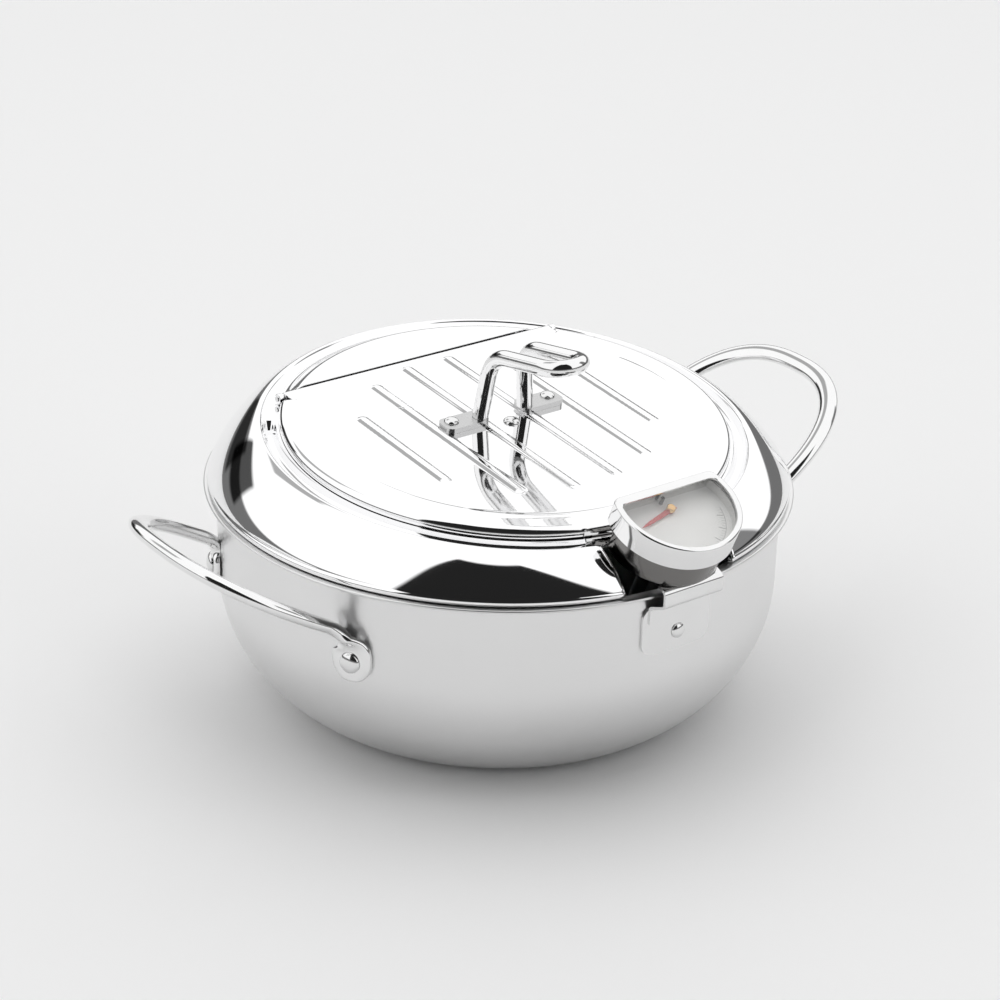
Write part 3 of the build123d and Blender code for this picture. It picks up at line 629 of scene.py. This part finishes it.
# Small and stud are the little rivets' scales, and each grip is the metal that a rivet holds.
rivets = {"head": 4.6, "high": 2.4, "tail": 3.8, "tailHigh": 1.2, "shank": 2.0, "small": 0.72, "stud": 0.78,
          "lugAngle": 25.5, "lugDrop": 34.0, "lugThick": 3.0, "lugGrip": 4.18,
          "plateRadius": 123.3, "plateDrop": 21.5, "plateGrip": 2.38,
          "footX": 25.5, "footV": 4.6, "footW": 7.04, "footGrip": 3.48, "studV": -4.0, "studW": 4.62,
          "studGrip": 1.06}


def rivetOutline(grip, scale):
    # A domed head with a small step at its foot, the shank, and a flat inner head with a soft edge.
    head, high = rivets["head"] * scale, rivets["high"] * scale
    tail, tailHigh = rivets["tail"] * scale, rivets["tailHigh"] * scale
    q = np.radians(np.linspace(90, 8, 14))
    dome = [(head * math.cos(k), high * math.sin(k)) for k in q]
    shank = rivets["shank"] * scale
    end = [(tail - 0.4 + 0.4 * math.cos(k), -grip - tailHigh + 0.4 - 0.4 * math.sin(k))
           for k in np.radians(np.linspace(0, 90, 4))]
    stem = [(head, 0), (shank, 0), (shank, -grip), (tail, -grip)]
    return [(0, high)] + dome[1:] + stem + end + [(0, -grip - tailHigh)]


def wallSpot(angle, radius, drop):
    q = math.radians(angle)
    out = np.array([math.cos(q), math.sin(q), 0.0])
    return out * radius + np.array([0, 0, rim - drop]), out, np.array([-math.sin(q), math.cos(q), 0.0])


def rivetGrid(origin, axis, across, grip, scale):
    return turnedAlong(origin, axis, across, rivetOutline(grip, scale))


lugOut = pot["wallRadius"] + 0.1 + rivets["lugThick"]
lugAngles = [middle + side * rivets["lugAngle"] for middle in (0, 180) for side in (-1, 1)]
lugRivets = [rivetGrid(*wallSpot(angle, lugOut, rivets["lugDrop"]), rivets["lugGrip"], 1.0)
             for angle in lugAngles]
handleRivets = makePiece("handleRivets", lugRivets, "pot", finishes["rivet_steel"], 30)
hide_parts("handle_rivets")
plateSpot = wallSpot(-90, rivets["plateRadius"], rivets["plateDrop"])
plateRivet = makePiece("bracketRivet", [rivetGrid(*plateSpot, rivets["plateGrip"], rivets["small"])],
                       "pot", finishes["rivet_steel"], 30)
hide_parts("bracket_rivet")
footPlaces = [onTop(*[np.array(k) for k in (side * rivets["footX"], rivets["footV"], rivets["footW"])])
              for side in (-1, 1)]
footSpots = [rivetGrid(spot, topUp, (1, 0, 0), rivets["footGrip"], rivets["small"]) for spot in footPlaces]
footRivets = makePiece("footRivets", footSpots, "lid_flap", finishes["rivet_steel"], 30)
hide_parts("foot_rivets")
studSpot = onTop(np.array(0.0), np.array(rivets["studV"]), np.array(rivets["studW"]))
stud = makePiece("centreStud", [rivetGrid(studSpot, topUp, (1, 0, 0), rivets["studGrip"], rivets["stud"])],
                 "lid_flap", finishes["rivet_steel"], 30)
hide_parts("centre_stud")
print("hinge and rivets ready")

loop = {"rootX": 118.0, "rootDrop": 18.8, "reach": (171.0, 167.5), "top": (13.4, 10.4),
        "half": 48.5, "power": 2.5,
        "wide": 4.4, "thick": 2.85, "lugAngle": 25.5, "lugRadius": 123.6, "lugHalf": 9.0, "lugThin": 1.5,
        "lugLow": 43.0, "lugHigh": 30.0}


def handlePath(side):
    # Half of the loop: up the lug, over a bend, then round a squared oval in its sloping plane.
    # Reach and top hold the right loop's value, then the left loop's.
    which = 0 if side > 0 else 1
    run = loop["reach"][which] - loop["rootX"]
    climb = loop["top"][which] + loop["rootDrop"]
    t = np.linspace(0, 0.5 * math.pi, 150)
    u = np.sin(t) ** (2 / loop["power"])
    y = loop["half"] * np.cos(t) ** (2 / loop["power"])
    oval = np.stack([loop["rootX"] + run * u, y, rim - loop["rootDrop"] + climb * u], axis=-1)
    keep = oval[u > 0.06]
    q = math.radians(loop["lugAngle"])
    lowZ = np.linspace(rim - loop["lugLow"], rim - loop["lugHigh"], 40)
    lugX, lugY = loop["lugRadius"] * math.cos(q), loop["lugRadius"] * math.sin(q)
    lug = np.stack([np.full(40, lugX), np.full(40, lugY), lowZ], axis=-1)
    first, last = lug[-1], keep[0]
    ahead = keep[1] - keep[0]
    ahead = ahead / np.linalg.norm(ahead)
    s1 = np.linspace(0, 1, 26)[1:-1, None]
    c1, c2 = first + np.array([0, 0, 6.0]), last - ahead * 6.0
    bendCurve = ((1 - s1) ** 3 * first + 3 * s1 * (1 - s1) ** 2 * c1
                 + 3 * s1 ** 2 * (1 - s1) * c2 + s1 ** 3 * last)
    half = np.concatenate([lug, bendCurve, keep])
    return half, run, climb


def evenly(path, step):
    length = np.concatenate([[0], np.cumsum(np.linalg.norm(np.diff(path, axis=0), axis=1))])
    even = np.linspace(0, length[-1], int(length[-1] / step) + 1)
    return np.stack([np.interp(even, length, path[:, k]) for k in range(3)], axis=-1), even


def loopHandle(name, side, node):
    half, run, climb = handlePath(side)
    mirror = half[::-1][1:] * np.array([1, -1, 1])
    path, along = evenly(np.concatenate([half, mirror]), 0.55)
    fromEnd = np.minimum(along, along[-1] - along)
    forward = directions(path)
    normal = np.array([-climb, 0.0, run])
    normal = normal / np.linalg.norm(normal)
    inPlane = np.cross(normal, forward)
    radial = path * np.array([1, 1, 0])
    radial = radial / np.linalg.norm(radial, axis=1)[:, None]
    tangent = np.cross(radial, np.array([0, 0, 1.0])) * np.where(along < along[-1] / 2, 1, -1)[:, None]
    flatness = np.clip((24.0 - fromEnd) / 12.0, 0, 1)
    flatness = flatness * flatness * (3 - 2 * flatness)
    sameWay = np.sign(np.sum(inPlane * tangent, axis=1))[:, None]
    mix = inPlane * (1 - flatness[:, None]) + tangent * sameWay * flatness[:, None]
    mix = mix - np.sum(mix * forward, axis=1)[:, None] * forward
    across = mix / np.linalg.norm(mix, axis=1)[:, None]
    over = np.cross(forward, across)
    wide = loop["wide"] * (1 - flatness) + loop["lugHalf"] * flatness
    thin = loop["thick"] * (1 - flatness) + loop["lugThin"] * flatness
    short = (loop["lugHalf"] - np.minimum(fromEnd, loop["lugHalf"])) / loop["lugHalf"]
    rounding = np.sqrt(np.clip(1 - short ** 2, 0, 1))
    wide = wide * rounding
    edge = np.clip(fromEnd / 1.2, 0, 1)
    thin = thin * np.sqrt(1 - (1 - edge) ** 2)
    turn = np.linspace(0, 2 * math.pi, 41)[:-1]
    squareness = 1 - 0.55 * flatness[:, None]
    c = np.sign(np.cos(turn)) * np.abs(np.cos(turn)) ** squareness
    d = np.sign(np.sin(turn)) * np.abs(np.sin(turn)) ** squareness
    grid = (path[:, None, :] + (wide[:, None] * c)[..., None] * across[:, None, :]
            + (thin[:, None] * d)[..., None] * over[:, None, :])
    # Near the wall the flat ends follow the wall's curve: each point is moved out or in to its own radius.
    outward = np.sum(over * radial, axis=1)[:, None]
    target = np.linalg.norm(path[:, :2], axis=1)[:, None] + thin[:, None] * d * np.sign(outward)
    now = np.linalg.norm(grid[..., :2], axis=-1)
    wrap = np.clip((20.0 - fromEnd) / 5.0, 0, 1)[:, None]
    scale = 1 + wrap * (target / now - 1)
    floorR = pot["wallRadius"] + 0.12
    nearer = np.where((grid[..., 2] < rim - 2.0), np.maximum(now * scale, floorR), now * scale)
    grid[..., 0] *= nearer / now
    grid[..., 1] *= nearer / now
    if side < 0:
        grid = grid * np.array([-1, 1, 1])
    piece = makePiece(name, [(grid, gridFaces(len(path), 40, True))], "pot",
                      finishes["handle_steel"], 40, 1e-5)
    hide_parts(node)


loopHandle("rightLoopHandle", 1, "right_handle")
loopHandle("leftLoopHandle", -1, "left_handle")
print("loop handles ready")

gauge = {"y": -119.0, "up": 34.4, "tilt": 22.0, "bezelR": 27.2, "bezelCut": 10.8, "bezelSoft": 0.9,
         "windowR": 24.6, "windowCut": 6.8, "canR": 24.6, "canCut": 7.0, "canDeep": 24.0, "canSoft": 1.6}
tilt = math.radians(gauge["tilt"])
faceOrigin = np.array([0.0, gauge["y"], pot["rim"] + gauge["up"]])
faceOut = np.array([0.0, -math.sin(tilt), math.cos(tilt)])
faceBack = np.array([0.0, math.cos(tilt), math.sin(tilt)])


def dRing(radius, cut):
    # A circle cut by a straight side: points round the arc, then back along the straight.
    corner = math.asin(min(cut / radius, 1.0))
    q = np.linspace(corner, -math.pi - corner, 150)
    roundPart = np.stack([radius * np.cos(q), radius * np.sin(q)], axis=-1)
    half = radius * math.cos(corner)
    straight = np.stack([np.linspace(-half, half, 52)[1:-1], np.full(50, cut)], axis=-1)
    ring = np.concatenate([roundPart, straight])
    # The two corners are rounded by averaging a few neighbours.
    spread = min(3, max(1, int(radius / 8)))
    kernel = np.ones(2 * spread + 1) / (2 * spread + 1)
    wrapped = np.concatenate([ring[-spread:], ring, ring[:spread]])
    return np.stack([np.convolve(wrapped[:, k], kernel, "valid") for k in range(2)], axis=-1)


def dSurface(stations, closed):
    # Rings of that shape at (radius, cut, height), joined into one surface.
    rings = []
    for radius, cut, w in stations:
        ring = dRing(radius, cut)
        rings.append(faceOrigin + ring[:, :1] * np.array([1.0, 0, 0]) + ring[:, 1:] * faceBack + w * faceOut)
    grid = np.array(rings)
    return grid, gridFaces(len(stations), grid.shape[1], True, closed)


q = np.radians(np.linspace(0, 90, 7))
bezelR, bezelCut, soft = gauge["bezelR"], gauge["bezelCut"], gauge["bezelSoft"]
windowR, windowCut = gauge["windowR"], gauge["windowCut"]
lipRound = [(bezelR - soft * (1 - math.cos(k)), bezelCut - soft * (1 - math.cos(k)),
             -soft + soft * math.sin(k)) for k in q]
bezelStations = ([(bezelR - 0.2, bezelCut - 0.2, -10.8), (bezelR, bezelCut, -10.6), (bezelR, bezelCut, -6.0)]
                 + lipRound + [(25.6, 8.5, -0.02), (24.9, 7.25, -0.1), (24.65, 6.87, -0.3),
                               (windowR, windowCut, -0.6), (windowR, windowCut, -1.2),
                               (26.2, 9.8, -1.2), (26.2, 9.8, -10.8)])
bezelPiece = makePiece("bezelRing", [dSurface(bezelStations, True)], "pot",
                       finishes["bezel_steel"], 35)
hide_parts("bezel")
canR, canCut, canDeep, soft = [gauge[k] for k in ("canR", "canCut", "canDeep", "canSoft")]
canRound = [(canR - soft * (1 - math.cos(k)), canCut - soft * (1 - math.cos(k)),
             -canDeep + soft - soft * math.sin(k)) for k in q]
inR, inCut, floorW = canR - 1.0, canCut - 1.0, 1.0 - canDeep
canStations = ([(0.5, 0.2, floorW), (12.0, 3.4, floorW), (inR, inCut, floorW), (inR, inCut, -10.4),
                (inR, inCut, -8.4), (25.8, 9.4, -8.4), (25.8, 9.4, -10.4), (canR, canCut, -10.4),
                (canR, canCut, -16.0)] + canRound + [(12.0, 3.0, -canDeep), (0.5, 0.2, -canDeep)])
canGrid, canFaces = dSurface(canStations, False)
canGrid[0] = faceOrigin + floorW * faceOut
canGrid[-1] = faceOrigin - canDeep * faceOut
canPiece = makePiece("gaugeCan", [(canGrid, canFaces)], "pot", finishes["case_steel"], 35)
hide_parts("thermometer_case")
print("gauge ready")


def dialFinish():
    # Cream paint with a fine printed scale: short and long marks by angle and radius about the dial's middle.
    made = bpy.data.materials.new("printedDial")
    made.use_nodes = True
    n, l = made.node_tree.nodes, made.node_tree.links
    shader = n["Principled BSDF"]
    coords = n.new("ShaderNodeTexCoord")
    place = n.new("ShaderNodeMapping")
    turned = Matrix.Rotation(-tilt, 3, "X") @ Vector((faceOrigin * mm).tolist())
    place.inputs["Rotation"].default_value = (-tilt, 0, 0)
    place.inputs["Location"].default_value = (-turned.x, -turned.y, -turned.z)
    l.new(coords.outputs["Object"], place.inputs["Vector"])
    parts = n.new("ShaderNodeSeparateXYZ")
    l.new(place.outputs[0], parts.inputs[0])

    def sums(kind, *values, clamp=False):
        return mathNode(made.node_tree, kind, values, clamp)

    x = sums("MULTIPLY", parts.outputs["X"], 1000.0)
    y = sums("MULTIPLY", parts.outputs["Y"], 1000.0)
    radius = sums("SQRT", sums("ADD", sums("MULTIPLY", x, x), sums("MULTIPLY", y, y)))
    angle = sums("ARCTAN2", y, x)
    onArc = sums("MULTIPLY", sums("LESS_THAN", angle, math.radians(-8)),
                 sums("GREATER_THAN", angle, math.radians(-172)))

    def marks(stepDegrees, halfWidth, low, high):
        step = math.radians(stepDegrees)
        turns = sums("FRACT", sums("ADD", sums("DIVIDE", angle, step), 100.5))
        cell = sums("ABSOLUTE", sums("SUBTRACT", turns, 0.5))
        width = sums("MULTIPLY", sums("MULTIPLY", cell, step), radius)
        line = sums("MULTIPLY", sums("SUBTRACT", halfWidth, width), 12.0, clamp=True)
        between = sums("MULTIPLY", sums("GREATER_THAN", radius, low), sums("LESS_THAN", radius, high))
        return sums("MULTIPLY", sums("MULTIPLY", line, between), onArc)

    short = marks(4.0, 0.12, 20.6, 22.2)
    long = marks(20.0, 0.22, 19.2, 22.2)
    fromRim = sums("ABSOLUTE", sums("SUBTRACT", radius, 22.4))
    rim = sums("MULTIPLY", sums("SUBTRACT", 0.14, fromRim), 12.0, clamp=True)
    ink = sums("MAXIMUM", sums("MAXIMUM", short, long), sums("MULTIPLY", rim, onArc))
    mix = n.new("ShaderNodeMix")
    mix.data_type = "RGBA"
    l.new(sums("MULTIPLY", ink, 0.75), mix.inputs["Factor"])
    wear = n.new("ShaderNodeGroup")
    wear.node_tree = wearGroup
    wear.inputs["Tone"].default_value = (0.95, 0.95, 0.93, 1)
    wear.inputs["Roughness"].default_value = 0.42
    wear.inputs["Smudge"].default_value = 0.05
    wear.inputs["Size"].default_value = 90.0
    l.new(wear.outputs["Color"], mix.inputs["A"])
    mix.inputs["B"].default_value = (0.10, 0.10, 0.11, 1)
    l.new(mix.outputs["Result"], shader.inputs["Base Color"])
    l.new(wear.outputs["Roughness"], shader.inputs["Roughness"])
    return made


finishes["dial_paint"] = dialFinish()

# Pieces that keep their CAD shape only get a finish.
for entry in frame["record"]["subparts"]:
    node = frame["nodes"][entry["node"]]
    node.data.materials.clear()
    node.data.materials.append(finishes[entry["material_slot"]])
footFinish = steel("brushedFootSteel", (0.56, 0.56, 0.56), 0.24, 0.05, 120.0, 0.03)
for side in ("left_foot", "right_foot"):
    frame["nodes"][side].data.materials[0] = footFinish
print("materials on the remaining pieces")

floorMat = bpy.data.materials.new("paleFloor")
floorMat.use_nodes = True
floorShader = floorMat.node_tree.nodes["Principled BSDF"]
floorShader.inputs["Base Color"].default_value = (0.93, 0.93, 0.93, 1)
floorShader.inputs["Roughness"].default_value = 0.9
bpy.ops.mesh.primitive_plane_add(size=12, location=(0, 0, -0.0003))
floor = bpy.context.object
floor.name = "paleFloor"
floor.data.materials.append(floorMat)
bpy.context.scene.view_settings.view_transform = "Standard"

# Soft white light from all round, with dark screens that only polished pieces show.
studio = {"white": 1.14, "seen": 0.9, "lineLow": -3.0, "lineHigh": 13.0, "lineDark": 0.85,
          "screens": [  # turn from the front of the object, half width, middle height, half height, dark
              (-34.0, 42.0, 45.0, 36.0, 0.985),
              (-168.0, 12.0, 13.0, 9.0, 0.93),
              (70.0, 12.0, 24.0, 18.0, 0.8),
              (176.0, 12.0, 8.0, 8.0, 0.85),
              (177.0, 16.0, 46.0, 10.0, 0.6)]}
world = bpy.data.worlds.new("studio")
bpy.context.scene.world = world
world.use_nodes = True
wn, wl = world.node_tree.nodes, world.node_tree.links


def worldMath(kind, *values, clamp=False):
    return mathNode(world.node_tree, kind, values, clamp)


direction = wn.new("ShaderNodeTexCoord").outputs["Generated"]
split = wn.new("ShaderNodeSeparateXYZ")
wl.new(direction, split.inputs[0])
height = worldMath("ARCSINE", split.outputs["Z"])
light = None
for turn, halfTurn, middle, halfHigh, dark in studio["screens"]:
    turn, halfTurn, middle, halfHigh = [math.radians(k) for k in (turn, halfTurn, middle, halfHigh)]
    # The angle round from the screen's middle comes from the two flat parts of the direction.
    ahead = worldMath("SUBTRACT", worldMath("MULTIPLY", split.outputs["X"], math.sin(turn)),
                      worldMath("MULTIPLY", split.outputs["Y"], math.cos(turn)))
    aside = worldMath("ADD", worldMath("MULTIPLY", split.outputs["X"], math.cos(turn)),
                      worldMath("MULTIPLY", split.outputs["Y"], math.sin(turn)))
    away = worldMath("ABSOLUTE", worldMath("ARCTAN2", aside, ahead))
    across = worldMath("MULTIPLY", worldMath("SUBTRACT", halfTurn, away), 25.0, clamp=True)
    upDown = worldMath("MULTIPLY", worldMath("SUBTRACT", halfHigh, worldMath("ABSOLUTE", worldMath(
        "SUBTRACT", height, middle))), 30.0, clamp=True)
    left = worldMath("SUBTRACT", 1.0, worldMath("MULTIPLY", worldMath("MULTIPLY", across, upDown), dark))
    light = left if light is None else worldMath("MULTIPLY", light, left)
# A dark band all round just above the floor draws the thin dark lines along rods and rolled edges.
bandMiddle = math.radians((studio["lineLow"] + studio["lineHigh"]) / 2)
bandHalf = math.radians((studio["lineHigh"] - studio["lineLow"]) / 2)
band = worldMath("MULTIPLY", worldMath("SUBTRACT", bandHalf, worldMath("ABSOLUTE", worldMath(
    "SUBTRACT", height, bandMiddle))), 40.0, clamp=True)
leftOver = worldMath("SUBTRACT", 1.0, worldMath("MULTIPLY", band, studio["lineDark"]))
light = worldMath("MULTIPLY", light, leftOver)
light = worldMath("MULTIPLY", light, studio["white"])
seen = wn.new("ShaderNodeLightPath").outputs["Is Camera Ray"]
choice = wn.new("ShaderNodeMix")
choice.data_type = "FLOAT"
wl.new(seen, choice.inputs["Factor"])
wl.new(light, choice.inputs["A"])
choice.inputs["B"].default_value = studio["seen"]
wl.new(choice.outputs["Result"], wn["Background"].inputs["Color"])


def areaLight(name, place, target, size, power):
    data = bpy.data.lights.new(name, "AREA")
    data.shape = "SQUARE"
    data.size = size
    data.energy = power
    lamp = bpy.data.objects.new(name, data)
    bpy.context.collection.objects.link(lamp)
    lamp.location = place
    lamp.rotation_euler = (Vector(target) - Vector(place)).to_track_quat("-Z", "Y").to_euler()
    lamp.visible_glossy = False  # polished pieces show only the studio's white
    return lamp


areaLight("overheadSoft", (0.2, 0.3, 2.2), (0, 0, 0.05), 2.4, 8)

view = {"distance": 1.2, "elevation": 25.05, "azimuth": -36.9, "roll": 1.55, "lens": 99.6,
        "shiftX": 0.0011, "shiftY": -0.0262}
el, az, roll = [math.radians(view[k]) for k in ("elevation", "azimuth", "roll")]
back = Vector((math.sin(az) * math.cos(el), -math.cos(az) * math.cos(el), math.sin(el)))
rightDir = Vector((math.cos(az), math.sin(az), 0))
upDir = back.cross(rightDir)
rightTurned = rightDir * math.cos(roll) + upDir * math.sin(roll)
upTurned = upDir * math.cos(roll) - rightDir * math.sin(roll)
camera = bpy.data.objects.new("camera", bpy.data.cameras.new("camera"))
bpy.context.collection.objects.link(camera)
camera.data.lens = view["lens"]
camera.data.sensor_width = 36.0
camera.data.shift_x = view["shiftX"]
camera.data.shift_y = view["shiftY"]
place = Vector((0, 0, pot["rim"] * mm)) + back * view["distance"]
camera.matrix_world = Matrix.Translation(place) @ Matrix((rightTurned, upTurned, back)).transposed().to_4x4()
bpy.context.scene.camera = camera
print("camera and light ready")
